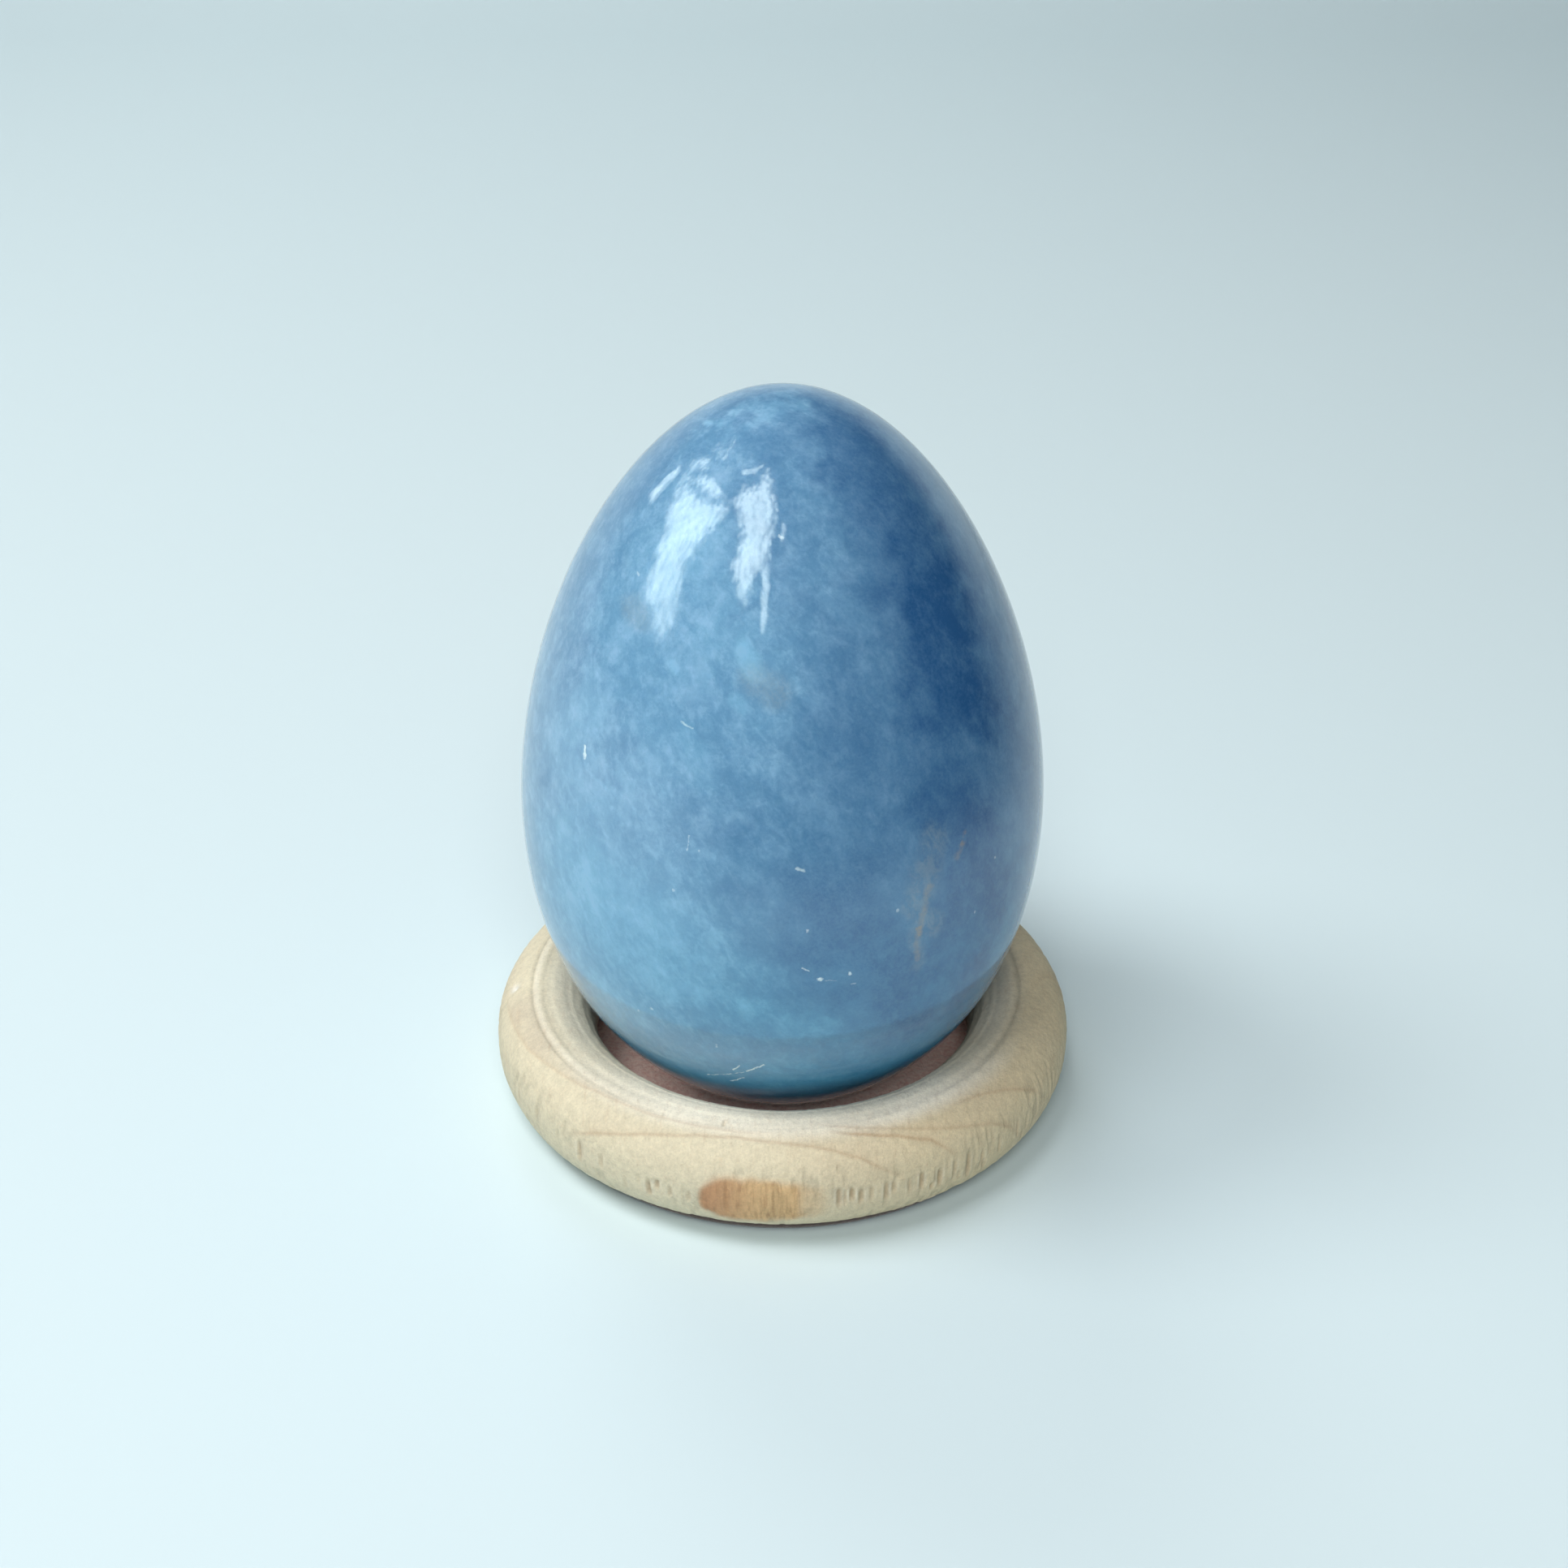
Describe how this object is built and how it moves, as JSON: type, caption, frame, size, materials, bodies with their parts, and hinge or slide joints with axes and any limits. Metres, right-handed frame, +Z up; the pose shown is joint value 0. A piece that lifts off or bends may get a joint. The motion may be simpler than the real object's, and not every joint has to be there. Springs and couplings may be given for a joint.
{
  "type": "stone egg on ring stand",
  "caption": "Polished blue stone egg standing blunt end down in a turned wooden ring, on a suede pad. The egg lifts out.",
  "frame": {"origin": "middle of the suede pad's underside, on the axis of the ring and the egg", "axes": "+Z up along the egg's long axis, +X to the right as seen from the front, +Y away from the front"},
  "size_m": [0.055, 0.055, 0.0702],
  "materials": {
    "angelite": "polished",
    "bare_wood": "matte",
    "pink_suede": "matte"
  },
  "bodies": {
    "stand": {"wooden_ring": "bare_wood", "suede_pad": "pink_suede"},
    "loose_egg": {"egg": "angelite"}
  },
  "joints": [
    {"name": "egg_lift", "type": "slide", "parent": "stand", "child": "loose_egg", "axis": [0, 0, 1], "range_m": [0, 0.05]}
  ]
}
